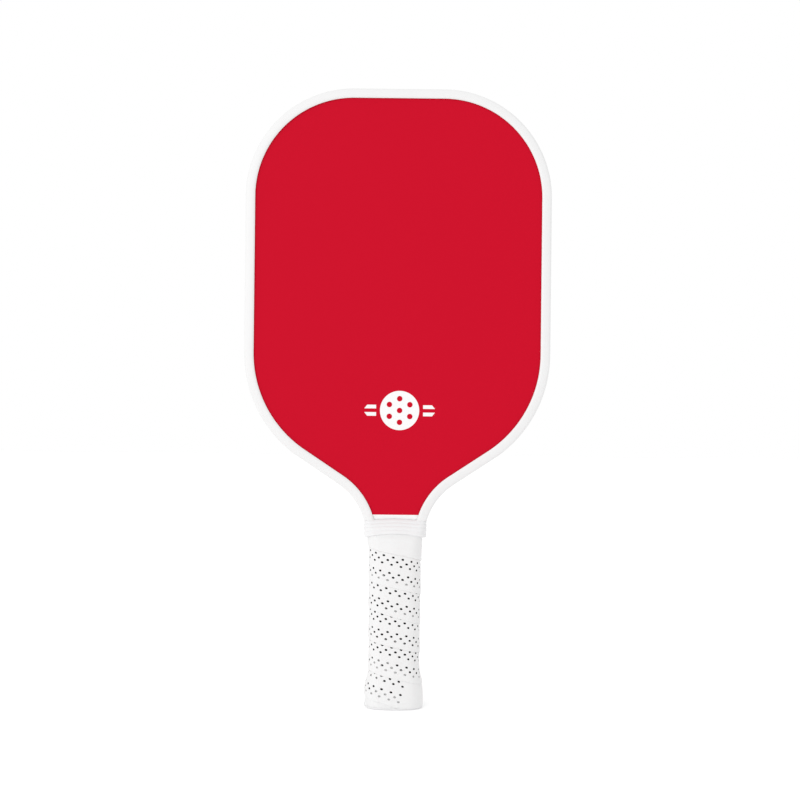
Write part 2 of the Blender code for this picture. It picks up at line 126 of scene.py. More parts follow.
# Rounded sections, in mm: height, half width, half depth, corner radius
WRAP_SECTIONS = (
    (1.5, 19.3, 16.4, 9.65),
    (5.0, 19.3, 16.5, 9.7),
    (9.0, 19.3, 16.5, 9.7),
    (12.5, 19.1, 16.3, 9.6),
    (16.5, 18.4, 15.7, 9.2),
    (20.0, 17.6, 15.0, 8.8),
    (24.0, 17.0, 14.4, 8.5),
    (30.0, 16.8, 14.2, 8.4),
    (70.0, 17.0, 14.2, 8.5),
    (97.0, 17.3, 14.3, 8.5),
    (104.0, 17.7, 14.4, 8.3),
    (108.5, 18.0, 14.6, 8.0),
    (110.6, 18.1, 14.3, 7.6),
    (112.3, 18.2, 13.3, 6.8),
    (115.0, 18.3, 12.0, 5.6),
)
CAP_SECTIONS = (
    (0.0, 18.0, 15.0, 8.8),
    (0.08, 18.4, 15.4, 9.05),
    (0.24, 18.75, 15.75, 9.3),
    (0.5, 19.05, 16.05, 9.5),
    (0.85, 19.27, 16.28, 9.65),
    (1.3, 19.36, 16.4, 9.7),
    (1.42, 19.3, 16.35, 9.65),
    (1.46, 19.0, 16.1, 9.5),
    (1.46, 17.1, 14.5, 8.2),
    (9.0, 17.0, 14.4, 8.1),
    (12.5, 16.8, 14.1, 7.9),
    (16.5, 16.2, 13.5, 7.5),
    (20.0, 15.5, 12.8, 7.0),
    (24.0, 14.8, 12.1, 6.6),
    (31.3, 14.45, 11.75, 6.4),
    (31.6, 14.15, 11.45, 6.1),
)
CAP_CAVITY = (
    (31.6, 13.8, 11.1, 5.8),
    (31.3, 13.5, 10.8, 5.6),
    (3.4, 13.5, 10.8, 5.6),
    (3.0, 13.1, 10.4, 5.3),
)
COLLAR_INSIDE = (
    (110.6, 18.45, 14.7, 7.8),
    (112.1, 18.55, 13.95, 7.3),
    (112.3, 18.9, 13.7, 7.3),
    (115.6, 19.2, 12.7, 6.0),
    (117.4, 18.8, 10.1, 3.6),
    (119.6, 18.9, 8.7, 2.6),
    (123.2, 18.9, 7.45, 1.6),
)
COLLAR_OUTSIDE = (
    (110.6, 20.2, 15.0, 8.5),
    (113.5, 20.3, 13.45, 7.4),
    (117.0, 20.4, 12.1, 6.2),
    (120.5, 20.35, 10.2, 4.9),
    (122.1, 20.3, 9.1, 4.3),
    (123.2, 20.2, 8.3, 3.9),
)
BINDING_OUTSIDE = (
    (112.5, 18.65, 13.65, 7.0),
    (115.4, 18.85, 12.4, 5.9),
)
BINDING_INSIDE = (
    (112.5, 18.35, 13.3, 6.8),
    (115.4, 18.55, 12.05, 5.8),
)
FACE_BOW = 0.15  # how far the faces swell past the corners, as a share of the corner
RING_POINTS = 144

# Collar
COLLAR_BOTTOM = 110.6 * MM
COLLAR_TOP = 122.1 * MM
COLLAR_ARCH = 2.9 * MM  # how far the lower edge rises at the front and back
COLLAR_TOP_ARCH = 1.0 * MM
RIB_EDGES = (0.0, 0.29, 0.56, 0.77, 1.0)  # shares of the way up the collar
RIB_STEPS = 8
RIB_HEIGHT = 0.36 * MM
RIB_FULLNESS = 0.6  # lower is flatter on top
RIB_SINK = 0.35  # share of the ribs' height that lies below the band's surface
COLLAR_LIP = 0.5 * MM  # how far the edges are rounded in
COLLAR_PINCH = 0.45 * MM  # how much further they go over the faces
LOWER_RIM = (  # shares of the way up, of the lip and of the pinch
    (0.0, 1.0, 1.0),
    (0.012, 0.6, 0.8),
    (0.026, 0.3, 0.4),
)
UPPER_RIM = (
    (0.99, 0.4, 0.0),
    (1.0, 0.9, 0.0),
)
LINING_RIM = (
    (0.0, 0.9, 1.0),
    (0.04, 0.9, 0.0),
)
LINING_STEPS = 12

# Tape under the collar that binds the wrap's end
BINDING_BOTTOM = 112.5 * MM
BINDING_TOP = 115.4 * MM
BINDING_ARCH = 1.7 * MM
BINDING_STEPS = 4
TAPE_WEAVE = 0.5 * MM

# Badge in the cap's end
BADGE_RADIUS = 11.0 * MM
BADGE_TOP = 0.7 * MM
BADGE_EDGE = 0.08 * MM
BADGE_RING = 8.2 * MM  # the turned finish ends at the raised ring
BADGE_RING_EDGE = 0.3 * MM
BADGE_TURNING = 0.35 * MM
RECESS_RADIUS = 11.3 * MM
RECESS_DEPTH = 1.0 * MM
RECESS_PROFILE = (  # reach past the recess's radius and height, in mm
    (-0.3, 1.0),
    (0.0, 0.9),
    (0.0, 0.25),
    (0.25, 0.0),
    (1.0, 0.0),
    (1.2, 0.15),
    (1.5, 0.15),
    (1.7, 0.0),
)
BADGE_PROFILE = (  # radius and height in mm, from the middle of the shown side
    (0.0, 0.14),
    (3.0, 0.15),
    (6.0, 0.18),
    (8.2, 0.22),
    (8.6, 0.30),
    (9.0, 0.22),
    (10.3, 0.25),
    (10.8, 0.34),
    (11.0, 0.50),
)

# Wound strip of the grip. Heights across the strip count from its lower edge.
STRIP_WIDTH = 25.0 * MM
STRIP_START = -1.146  # in turns, with whole turns at the middle of the front
STRIP_END = 5.72
STRIP_LEVELS = (  # turn, and height in mm of the lower edge there
    (-2.0, -30.0),
    (-1.13, -16.9),
    (-1.0, -13.9),
    (-0.87, -10.9),
    (-0.13, -2.1),
    (0.0, 2.1),
    (0.13, 6.3),
    (0.87, 16.8),
    (1.0, 20.1),
    (1.13, 23.4),
    (1.87, 37.0),
    (2.0, 40.1),
    (2.13, 43.2),
    (2.87, 55.9),
    (3.0, 59.7),
    (3.13, 63.6),
    (3.87, 75.3),
    (4.0, 78.5),
    (4.13, 81.8),
    (4.87, 97.5),
    (5.0, 100.4),
    (5.13, 103.3),
    (6.0, 119.5),
)
STRIP_LEAN = 2.1  # turns back per metre across: the rows of holes run square to it
START_SINK = 0.2 * MM  # the first turn is pulled in, and lies under the second
START_TURNS = (-0.75, -0.35)  # over which it comes out again
HOLE_TURNS = (-0.03, 4.52)  # the strip has no holes before and after these
TILE_LENGTH = 3.056 * MM
TILE_HEIGHT = 2.45 * MM
TILE_SPLIT = 4
HOLE_HALF_LENGTH = 0.88 * MM
HOLE_HALF_HEIGHT = 0.66 * MM
HOLE_DEPTH = 1.0 * MM
HOLE_RINGS = (  # shares of the hole's size and of its depth
    (1.32, 0.0),
    (1.08, 0.05),
    (0.98, 0.2),
    (0.93, 0.45),
    (0.90, 1.0),
)
SKIN_RINGS = 3  # the rings below these are black foam where the hole goes through, and painted grey shade where it lies over the turn before
HOLE_CLEARANCE = 0.7 * TILE_HEIGHT  # a hole's middle stays this far above the trim
THIN_EDGE = 1.1 * MM  # the strip's upper edge is too thin to fill a hole over it
PACE_ROW = 13.5 * MM  # the holes keep an even distance along this row
FIRST_PACE = 0.962  # but are pulled a little closer on the first turn
LOWER_ROWS = 3.075 * MM  # where the lower three rows of holes start
UPPER_ROWS = 13.6 * MM
ROWS = 3
STRIP_LOW = 1.5 * MM  # the strip is trimmed level at the cap's rim
STRIP_HIGH = 115.0 * MM
FACE_HEIGHTS = (  # the strip's outer face over the sleeve's, in mm
    (0.0, 0.24),
    (3.0, 0.22),
    (7.0, 0.05),
    (12.0, -0.10),
    (17.0, -0.18),
    (19.4, -0.28),
    (21.5, -0.50),
    (25.0, -0.90),
)
EDGE_ROLL = 0.7 * MM
EDGE_FOOT = 0.12 * MM  # thickness of the lower edge where it meets the turn before
BACKING = -1.9 * MM
BACKING_STEP = 0.8 * MM  # width over which the underside drops off the turn before
WRAP_GAP = 0.03 * MM
EDGE_ROWS = (0.0, 0.06, 0.16, 0.32, 0.5, 0.7, 1.1, 1.7, 2.4)  # mm across the strip
UPPER_EDGE_ROWS = (0.3, 0.65, 1.0)  # shares of the way from the last hole
UNDER_ROWS = (0.0, 2.0, 4.0, 5.2, 5.8, 6.6, 25.0)  # mm across the strip
GAP_ROWS = 4  # between the two bands of holes

# Material slots of the strip; the last is painted grey shade for the floors of holes
# over the turn before
PERFORATED, PLAIN, DARK_FOAM, UNDERSIDE, GREY_FOAM = range(5)


# Small tools


def mix(low, high, share):
    """Value a share of the way from one number to another."""
    return low + (high - low) * share


def smoothstep(low, high, value):
    """0 below a range and 1 above it, with a smooth rise between."""
    share = min(1.0, max(0.0, (value - low) / (high - low)))
    return share * share * (3 - 2 * share)


def lookup(table, value):
    """Every other column of a table at one value of its first, joined smoothly."""
    rows = table if table[0][0] < table[-1][0] else table[::-1]
    value = min(rows[-1][0], max(rows[0][0], value))
    at = next(i for i in range(1, len(rows)) if value <= rows[i][0])
    low, high = rows[at - 1], rows[at]
    span = high[0] - low[0]
    share = (value - low[0]) / span
    found = []
    for column in range(1, len(low)):
        slopes = [limited_slope(rows, i, column) * span for i in (at - 1, at)]
        a, b = low[column], high[column]
        found.append(
            a * (1 + 2 * share) * (1 - share) ** 2
            + slopes[0] * share * (1 - share) ** 2
            + b * (3 - 2 * share) * share**2
            - slopes[1] * share**2 * (1 - share)
        )
    return found


def limited_slope(rows, at, column):
    """Slope of a table at a row, level where its neighbours turn back."""
    if at in (0, len(rows) - 1):
        a, b = (rows[0], rows[1]) if at == 0 else (rows[-2], rows[-1])
        return (b[column] - a[column]) / (b[0] - a[0])
    before = (rows[at][column] - rows[at - 1][column]) / (rows[at][0] - rows[at - 1][0])
    after = (rows[at + 1][column] - rows[at][column]) / (rows[at + 1][0] - rows[at][0])
    return 0.0 if before * after <= 0 else 2 * before * after / (before + after)


def on_section(size, turn):
    """Point and outward normal on a rounded rectangle with bowed faces.

    The turn is the share of the way round, from the middle of the front to the left.
    """
    half_width, half_depth, corner = size
    flat_x, flat_y = half_width - corner, half_depth - corner
    bend = corner * pi / 2
    quarter_length = flat_x + bend + flat_y
    quarter, along = divmod((turn % 1.0) * 4, 1.0)
    if quarter % 2:
        along = 1.0 - along
    along *= quarter_length
    if along < flat_x:
        x, y, nx, ny = along, half_depth, 0.0, 1.0
    elif along < flat_x + bend:
        angle = (along - flat_x) / corner
        nx, ny = sin(angle), cos(angle)
        x, y = flat_x + corner * nx, flat_y + corner * ny
    else:
        x, y, nx, ny = half_width, flat_y - (along - flat_x - bend), 1.0, 0.0
    drop = FACE_BOW * corner * (1 - cos(8 * pi * turn)) / 2
    x, y = x - nx * drop, y - ny * drop
    left = -1 if quarter in (0, 1) else 1
    front = -1 if quarter in (0, 3) else 1
    return x * left, y * front, nx * left, ny * front


def around(size):
    """Length of a rounded rectangle's outline."""
    half_width, half_depth, corner = size
    return 4 * (half_width + half_depth) - (8 - 2 * pi) * corner


def section_at(table, height):
    """Half width, half depth and corner radius of a table in mm at a height in m."""
    return [value * MM for value in lookup(table, height / MM)]


def finish_mesh(name, shape, materials):
    """Turns a bmesh into a piece in the scene, shaded smooth, with its materials."""
    mesh = bpy.data.meshes.new(name)
    shape.to_mesh(mesh)
    shape.free()
    mesh.shade_smooth()
    mesh.set_sharp_from_angle(angle=SHARP_ANGLE)
    for material in materials:
        mesh.materials.append(material)
    made = bpy.data.objects.new(name, mesh)
    bpy.context.scene.collection.objects.link(made)
    return made


def hand_over(piece, slot, *nodes):
    """The piece rides on the paddle and hides the CAD nodes it stands for; the slot is
    not used.
    """
    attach(piece, "root")
    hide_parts(*nodes)


def skin(shape, loops, closed_round=False):
    """Quads between loops of equal vertex counts, facing outward for rising loops."""
    pairs = list(zip(loops, loops[1:]))
    if closed_round:
        pairs.append((loops[-1], loops[0]))
    faces = []
    for lower, upper in pairs:
        count = len(lower)
        for i in range(count):
            j = (i + 1) % count
            faces.append(shape.faces.new((lower[j], lower[i], upper[i], upper[j])))
    return faces


def fan(shape, loop, centre, facing_up):
    """Triangles from a loop to its middle point."""
    middle = shape.verts.new(centre)
    count = len(loop)
    for i in range(count):
        j = (i + 1) % count
        if facing_up:
            shape.faces.new((loop[j], loop[i], middle))
        else:
            shape.faces.new((loop[i], loop[j], middle))


# Materials


class Surface:
    """A material's node tree, with short calls for the nodes used here."""

    def __init__(self, name, roughness, specular=0.5, **sockets):
        self.material = bpy.data.materials.new(name)
        self.material.use_nodes = True
        self.tree = self.material.node_tree
        self.shader = self.tree.nodes["Principled BSDF"]
        self.shader.inputs["Roughness"].default_value = roughness
        self.shader.inputs["Specular IOR Level"].default_value = specular
        for socket, value in sockets.items():
            self.shader.inputs[socket.replace("_", " ")].default_value = value
        self.place = self.add("ShaderNodeTexCoord").outputs["Object"]

    def add(self, kind, values=(), links=(), **settings):
        """New node with its settings, its input values and its input links."""
        made = self.tree.nodes.new(kind)
        for key, value in settings.items():
            setattr(made, key, value)
        for socket, value in dict(values).items():
            made.inputs[socket].default_value = value
        for socket, source in dict(links).items():
            self.tree.links.new(source, made.inputs[socket])
        return made

    def scaled(self, stretch):
        """The object's coordinates, stretched along each axis."""
        return self.add(
            "ShaderNodeMapping", {"Scale": stretch}, {"Vector": self.place}
        ).outputs["Vector"]

    def noise(self, size, detail=2.0, roughness=0.5, stretch=(1, 1, 1)):
        """Noise with features of about one size in metres."""
        values = {"Scale": 1 / size, "Detail": detail, "Roughness": roughness}
        return self.add(
            "ShaderNodeTexNoise", values, {"Vector": self.scaled(stretch)}
        ).outputs["Fac"]

    def cells(self, size, feature="F1"):
        """Distance to the middle of cells of about one size in metres."""
        links = {"Vector": self.place}
        return self.add(
            "ShaderNodeTexVoronoi", {"Scale": 1 / size}, links, feature=feature
        ).outputs["Distance"]

    def weave(self, pitch):
        """Crossed threads over X and Z, from -1 to 1."""
        threads = [
            self.math("SINE", self.math("MULTIPLY", self.axis(axis), 2 * pi / pitch))
            for axis in (0, 2)
        ]
        return self.math("MULTIPLY", *threads)

    def math(self, operation, *operands):
        """Math node; each operand is a number or a socket."""
        made = self.add("ShaderNodeMath", operation=operation)
        for index, value in enumerate(operands):
            if isinstance(value, (int, float)):
                made.inputs[index].default_value = value
            else:
                self.tree.links.new(value, made.inputs[index])
        return made.outputs["Value"]

    def length(self, first, second):
        """Length of a vector with two components."""
        squares = self.math("MULTIPLY", second, second)
        return self.math("SQRT", self.math("MULTIPLY_ADD", first, first, squares))

    def ramp(self, source, low, high, to_low=0.0, to_high=1.0):
        """Maps a range of values onto another, smoothly."""
        made = self.add("ShaderNodeMapRange", interpolation_type="SMOOTHSTEP")
        for socket, value in (
            ("From Min", low),
            ("From Max", high),
            ("To Min", to_low),
            ("To Max", to_high),
        ):
            made.inputs[socket].default_value = value
        self.tree.links.new(source, made.inputs["Value"])
        return made.outputs["Result"]

    def blend(self, share, first, second):
        """Mix of two colours; each is a colour or a socket."""
        made = self.add("ShaderNodeMix", data_type="RGBA")
        self.tree.links.new(share, made.inputs["Factor"])
        for socket, value in ((6, first), (7, second)):
            if isinstance(value, tuple):
                made.inputs[socket].default_value = (*value, 1.0)
            else:
                self.tree.links.new(value, made.inputs[socket])
        return made.outputs[2]

    def axis(self, index):
        """One of the object's coordinates."""
        split = self.add("ShaderNodeSeparateXYZ", links={"Vector": self.place})
        return split.outputs[index]

    def colour(self, source):
        self.tree.links.new(source, self.shader.inputs["Base Color"])

    def roughness(self, source):
        self.tree.links.new(source, self.shader.inputs["Roughness"])

    def bumps(self, *layers):
        """Stacked bumps, each a height socket and its depth in metres."""
        normal = None
        for height, depth in layers:
            links = {"Height": height}
            if normal:
                links["Normal"] = normal
            values = {"Strength": 1.0, "Distance": depth}
            normal = self.add("ShaderNodeBump", values, links).outputs["Normal"]
        self.tree.links.new(normal, self.shader.inputs["Normal"])


def tinted(surface, colour, size, share=0.04, detail=3.0):
    """A colour that drifts a little lighter and darker."""
    dark = tuple(c * (1 - share) for c in colour)
    light = tuple(min(1.0, c * (1 + share)) for c in colour)
    return surface.blend(surface.noise(size, detail), dark, light)


def moulded_plastic(name, colour, roughness, grain=0.35 * MM, depth=0.012 * MM):
    """Injection-moulded plastic: fine spark texture and slow waves of shrinkage."""
    surface = Surface(name, roughness, specular=0.4)
    surface.colour(tinted(surface, colour, 18 * MM, 0.012))
    texture = surface.noise(grain, 3.0, 0.6)
    waves = surface.noise(9 * MM, 1.0)
    spread = surface.ramp(texture, 0.3, 0.7, roughness - 0.06, roughness + 0.07)
    surface.roughness(spread)
    surface.bumps((waves, 0.05 * MM), (texture, depth))
    return surface.material


def emblem_mask(surface):
    """A plain ball with round holes between two pairs of bars: 1 where it prints."""
    x = surface.math("SUBTRACT", surface.axis(0), EMBLEM_CENTRE[0])
    z = surface.math("SUBTRACT", surface.axis(2), EMBLEM_CENTRE[1])

    def distance(to_x, to_z):
        dx = surface.math("SUBTRACT", x, to_x)
        dz = surface.math("SUBTRACT", z, to_z)
        return surface.length(dx, dz)

    def beyond(value, edge):
        return surface.ramp(value, edge - PRINT_SOFT, edge + PRINT_SOFT)

    def within(value, edge):
        return surface.ramp(value, edge - PRINT_SOFT, edge + PRINT_SOFT, 1.0, 0.0)

    ball = within(distance(0.0, 0.0), EMBLEM_RADIUS)
    places = [(0.0, 0.0)]
    places += [
        (EMBLEM_RING * sin(i * pi / 3), EMBLEM_RING * cos(i * pi / 3)) for i in range(6)
    ]
    for place in places:
        ball = surface.math("MULTIPLY", ball, beyond(distance(*place), EMBLEM_HOLE))
    beside = surface.math("ABSOLUTE", x)
    across = surface.math("ABSOLUTE", z)
    slanted = surface.math("MULTIPLY_ADD", across, BAR_SLANT, beside)
    offset = surface.math("ABSOLUTE", surface.math("SUBTRACT", across, BAR_PLACE))
    bar = surface.math("MULTIPLY", within(offset, BAR_HALF), beyond(beside, BAR_START))
    bar = surface.math("MULTIPLY", bar, within(slanted, BAR_END))
    return surface.math("MAXIMUM", ball, bar)


def printed_face(name, emblem):
    """Hard face sheet: matt print over fine woven glass, bare at the throat."""
    surface = Surface(name, 0.6, specular=0.09)
    red = tinted(surface, (0.506, 0.0002, 0.0155), 60 * MM, 0.01)
    bare = tinted(surface, (0.80, 0.80, 0.80), 20 * MM, 0.01)
    edge = surface.math(
        "MULTIPLY_ADD", surface.noise(0.5 * MM), PRINT_EDGE, surface.axis(2)
    )
    printed = surface.ramp(edge, PRINT_BASE, PRINT_BASE + PRINT_EDGE)
    if emblem:
        free = surface.math("SUBTRACT", 1.0, emblem_mask(surface))
        printed = surface.math("MULTIPLY", printed, free)
    surface.colour(surface.blend(printed, bare, red))
    grit = surface.noise(0.22 * MM, 3.0, 0.65)
    surface.roughness(surface.ramp(grit, 0.25, 0.75, 0.52, 0.68))
    surface.bumps((surface.weave(FACE_WEAVE), 0.004 * MM), (grit, 0.012 * MM))
    return surface.material


def wrap_leather(name, colour, pebble, depth, roughness):
    """Polyurethane leather: pebbled skin with faint creases along the strip."""
    surface = Surface(name, roughness, specular=0.3, Sheen_Weight=0.05)
    surface.colour(tinted(surface, colour, 6 * MM, 0.015))
    skin_cells = surface.cells(pebble, "SMOOTH_F1")
    creases = surface.noise(1.6 * MM, 3.0, 0.6, stretch=(0.6, 0.6, 2.0))
    fine = surface.noise(0.2 * MM, 2.0)
    surface.roughness(surface.ramp(fine, 0.3, 0.7, roughness - 0.07, roughness + 0.07))
    surface.bumps((creases, depth * 2), (skin_cells, depth), (fine, depth * 0.3))
    return surface.material


def foam(name, dark, light):
    """Hole floor material: black foam where a hole goes through, and painted grey
    shade, standing in for the shaded white turn below, where it lies over the turn
    before.
    """
    surface = Surface(name, 0.95, specular=0.1)
    pores = surface.cells(0.25 * MM)
    surface.colour(
        surface.blend(surface.ramp(pores, 0.1, 0.7), (dark,) * 3, (light,) * 3)
    )
    surface.bumps((pores, 0.1 * MM))
    return surface.material


def collar_rubber():
    """Soft moulded rubber: dull, with a fine matt bloom."""
    surface = Surface("collar_rubber", 0.62, specular=0.3, Sheen_Weight=0.04)
    surface.colour(tinted(surface, (0.745, 0.745, 0.75), 7 * MM, 0.012))
    bloom = surface.noise(0.3 * MM, 3.0, 0.6)
    surface.roughness(surface.ramp(bloom, 0.3, 0.7, 0.54, 0.7))
    surface.bumps((surface.noise(3 * MM, 2.0), 0.04 * MM), (bloom, 0.015 * MM))
    return surface.material


def pallet_wood():
    """Light basswood with grain along the handle."""
    surface = Surface("pallet_wood", 0.75, specular=0.25)
    rings = surface.noise(2.2 * MM, 4.0, 0.6, stretch=(1.0, 1.0, 0.05))
    fibres = surface.noise(0.35 * MM, 3.0, 0.6, stretch=(1.0, 1.0, 0.03))
    tone = surface.blend(
        surface.ramp(rings, 0.3, 0.7), (0.50, 0.36, 0.21), (0.72, 0.58, 0.40)
    )
    surface.colour(surface.blend(fibres, tone, (0.66, 0.53, 0.36)))
    surface.roughness(surface.ramp(fibres, 0.3, 0.7, 0.65, 0.85))
    surface.bumps((fibres, 0.05 * MM))
    return surface.material


def translucent_polymer(name, colour, size):
    """Extruded polypropylene of the core and its films: milky, with flow lines."""
    surface = Surface(name, 0.5, specular=0.4)
    flow = surface.noise(size, 3.0, 0.6, stretch=(1.0, 1.0, 0.2))
    dark = tuple(c * 0.9 for c in colour)
    surface.colour(surface.blend(flow, dark, colour))
    surface.roughness(surface.ramp(flow, 0.3, 0.7, 0.42, 0.6))
    surface.bumps((flow, 0.03 * MM))
    return surface.material


def woven_tape(name, colour):
    """Thin adhesive tape with a fine cross weave."""
    surface = Surface(name, 0.65, specular=0.3)
    weave = surface.weave(TAPE_WEAVE)
    dark = tuple(c * 0.92 for c in colour)
    surface.colour(surface.blend(surface.ramp(weave, -1.0, 1.0), dark, colour))
    surface.roughness(surface.ramp(surface.noise(1 * MM), 0.3, 0.7, 0.58, 0.74))
    surface.bumps((weave, 0.02 * MM))
    return surface.material


def staple_steel():
    """Drawn steel wire with fine scratches."""
    surface = Surface("staple_steel", 0.32, Metallic=1.0)
    scratches = surface.noise(0.06 * MM, 2.0, 0.6, stretch=(0.1, 1.0, 1.0))
    surface.colour(surface.blend(scratches, (0.46, 0.46, 0.47), (0.62, 0.62, 0.63)))
    surface.roughness(surface.ramp(scratches, 0.3, 0.7, 0.22, 0.42))
    surface.bumps((scratches, 0.004 * MM))
    return surface.material


def badge_resin():
    """Glossy domed resin over a silvery disc with a turned finish."""
    surface = Surface("badge_resin", 0.2, Coat_Weight=0.6, Coat_Roughness=0.05)
    radius = surface.length(surface.axis(0), surface.axis(1))
    waves = surface.math("MULTIPLY", radius, 2 * pi / BADGE_TURNING)
    turned = surface.math("SINE", waves)
    rim = surface.ramp(radius, BADGE_RING, BADGE_RING + BADGE_RING_EDGE)
    shine = surface.blend(
        surface.ramp(turned, -1.0, 1.0), (0.52, 0.53, 0.55), (0.66, 0.67, 0.69)
    )
    surface.colour(surface.blend(rim, shine, (0.76, 0.77, 0.79)))
    surface.roughness(surface.ramp(surface.noise(0.8 * MM), 0.3, 0.7, 0.14, 0.28))
    surface.bumps((turned, 0.003 * MM))
    return surface.material


def floor_paper():
    """White seamless paper, lit from below enough to stay white."""
    surface = Surface("floor_paper", 0.9, specular=0.1)
    surface.colour(tinted(surface, (0.94, 0.94, 0.94), 40 * MM, 0.004))
    surface.shader.inputs["Emission Color"].default_value = (1, 1, 1, 1)
    surface.shader.inputs["Emission Strength"].default_value = FLOOR_GLOW
    surface.bumps((surface.noise(1.2 * MM, 3.0), 0.02 * MM))
    return surface.material


# Edge guard


def arc(centre, radius, start, end, steps=None):
    """Points on an arc from one angle to another, each with its outward normal."""
    steps = steps or max(1, round(abs(end - start) / ARC_STEP))
    angles = [mix(start, end, i / steps) for i in range(steps + 1)]
    return [
        (centre[0] + radius * cos(a), centre[1] + radius * sin(a), cos(a), sin(a))
        for a in angles
    ]


def straight(first, last):
    """Points between two outline points, with the same normal."""
    length = hypot(last[0] - first[0], last[1] - first[1])
    steps = max(1, round(length / STRAIGHT_STEP))
    return [
        tuple(mix(a, b, i / steps) for a, b in zip(first, last))
        for i in range(1, steps)
    ]


def window_side():
    """Right side of the window from the top down: points with outward normals."""
    top_centre = (WINDOW_HALF_WIDTH - TOP_CORNER_RADIUS, WINDOW_TOP - TOP_CORNER_RADIUS)
    low_centre = (WINDOW_HALF_WIDTH - LOWER_CORNER_RADIUS, LOWER_CORNER_HEIGHT)
    across = LOWER_CORNER_RADIUS + THROAT_RADIUS
    throat_centre = (
        low_centre[0]
        + across * sin(SHOULDER_SLOPE)
        - SHOULDER_LENGTH * cos(SHOULDER_SLOPE),
        low_centre[1]
        - across * cos(SHOULDER_SLOPE)
        - SHOULDER_LENGTH * sin(SHOULDER_SLOPE),
    )
    low_end = SHOULDER_SLOPE - pi / 2
    top = arc(top_centre, TOP_CORNER_RADIUS, pi / 2, 0.0)
    low = arc(low_centre, LOWER_CORNER_RADIUS, 0.0, low_end)
    start = low_end + pi
    turned = arc(throat_centre, THROAT_RADIUS, start, start + THROAT_TURN + SPARE_TURN)
    throat = [(x, z, -nx, -nz) for x, z, nx, nz in turned]
    return top + straight(top[-1], low[0]) + low + straight(low[-1], throat[0]) + throat


def guard_profile():
    """Closed section of the guard: reach outside the window, and thickness."""
    lip_top = GUARD_INSIDE + GUARD_LIP_EDGE
    bend = GUARD_LIP_ROUND
    start = pi / 2 - GUARD_CROWN_SLOPE
    corner_centre = (
        GUARD_REACH - GUARD_CORNER,
        GUARD_OUTSIDE - GUARD_CROWN - GUARD_CORNER * sin(start),
    )
    lip_edge = arc((bend, GUARD_INSIDE + bend), bend, -pi / 2, -pi, 3)
    lip_edge += arc((bend, lip_top - bend), bend, pi, GUARD_LIP_TURN, 4)
    half = [
        (GUARD_INNER_REACH, 0.0),
        (GUARD_INNER_REACH, GUARD_INSIDE - GUARD_INNER_CHAMFER),
        (GUARD_INNER_REACH - GUARD_INNER_CHAMFER, GUARD_INSIDE),
        (GUARD_LIP_BASE, GUARD_INSIDE),
    ]
    half += [(u, v) for u, v, _, _ in lip_edge]
    half += [
        (GUARD_LIP_SLOPE * along, mix(lip_top, GUARD_OUTSIDE, rise))
        for along, rise in GUARD_LIP_CURVE
    ]
    half += [
        (reach * MM, GUARD_OUTSIDE - fall * GUARD_CROWN)
        for reach, fall in GUARD_CROWN_CURVE
    ]
    half += [(u, v) for u, v, _, _ in arc(corner_centre, GUARD_CORNER, start, 0.0, 8)]
    half += [
        (GUARD_REACH, GUARD_EDGE_FLAT),
        (GUARD_REACH, SEAM_HALF * 2),
        (GUARD_REACH, SEAM_HALF),
    ]
    middle = [(GUARD_REACH - SEAM_DEPTH, 0.0)]
    return half + middle + [(u, -v) for u, v in reversed(half[1:])]


def make_guard(material):
    """U-section moulding swept round the head and trimmed level at the collar."""
    side = window_side()
    path = side[::-1] + [(-x, z, -nx, nz) for x, z, nx, nz in side]
    profile = guard_profile()
    shape = bmesh.new()
    loops = [
        [shape.verts.new((x + nx * u, v, z + nz * u)) for u, v in profile]
        for x, z, nx, nz in path
    ]
    skin(shape, loops)
    shape.faces.new(loops[0])
    shape.faces.new(reversed(loops[-1]))
    whole = shape.verts[:] + shape.edges[:] + shape.faces[:]
    bmesh.ops.bisect_plane(
        shape,
        geom=whole,
        dist=WELD,
        plane_co=(0, 0, GUARD_END),
        plane_no=(0, 0, 1),
        clear_inner=True,
    )
    open_edges = [e for e in shape.edges if e.is_boundary]
    bmesh.ops.edgeloop_fill(shape, edges=open_edges)
    bmesh.ops.recalc_face_normals(shape, faces=shape.faces)
    piece = finish_mesh("edge_guard_moulding", shape, [material])
    hand_over(piece, "guard_moulding", "edge_guard")


# Butt cap and badge


def section_loop(shape, size, height):
    """Level loop round a rounded section."""
    loop = []
    for i in range(RING_POINTS):
        x, y, _, _ = on_section(size, i / RING_POINTS)
        loop.append(shape.verts.new((x, y, height)))
    return loop


def round_loop(shape, radius, height):
    """Level circle that matches a section loop point for point."""
    angles = [2 * pi * i / RING_POINTS for i in range(RING_POINTS)]
    return [
        shape.verts.new((-radius * sin(a), -radius * cos(a), height)) for a in angles
    ]


def make_cap(material):
    """Flared cup: recess under it, rolled rim, and the sleeve that the wrap hides."""
    shape = bmesh.new()
    loops = [
        round_loop(shape, RECESS_RADIUS + reach * MM, height * MM)
        for reach, height in RECESS_PROFILE
    ]
    for height, *size in CAP_SECTIONS + CAP_CAVITY:
        loops.append(section_loop(shape, [value * MM for value in size], height * MM))
    skin(shape, loops)
    fan(shape, loops[0], (0, 0, RECESS_DEPTH), facing_up=False)
    fan(shape, loops[-1], (0, 0, CAP_CAVITY[-1][0] * MM), facing_up=True)
    piece = finish_mesh("butt_cap_shell", shape, [material])
    hand_over(piece, "cap_plastic", "butt_cap")


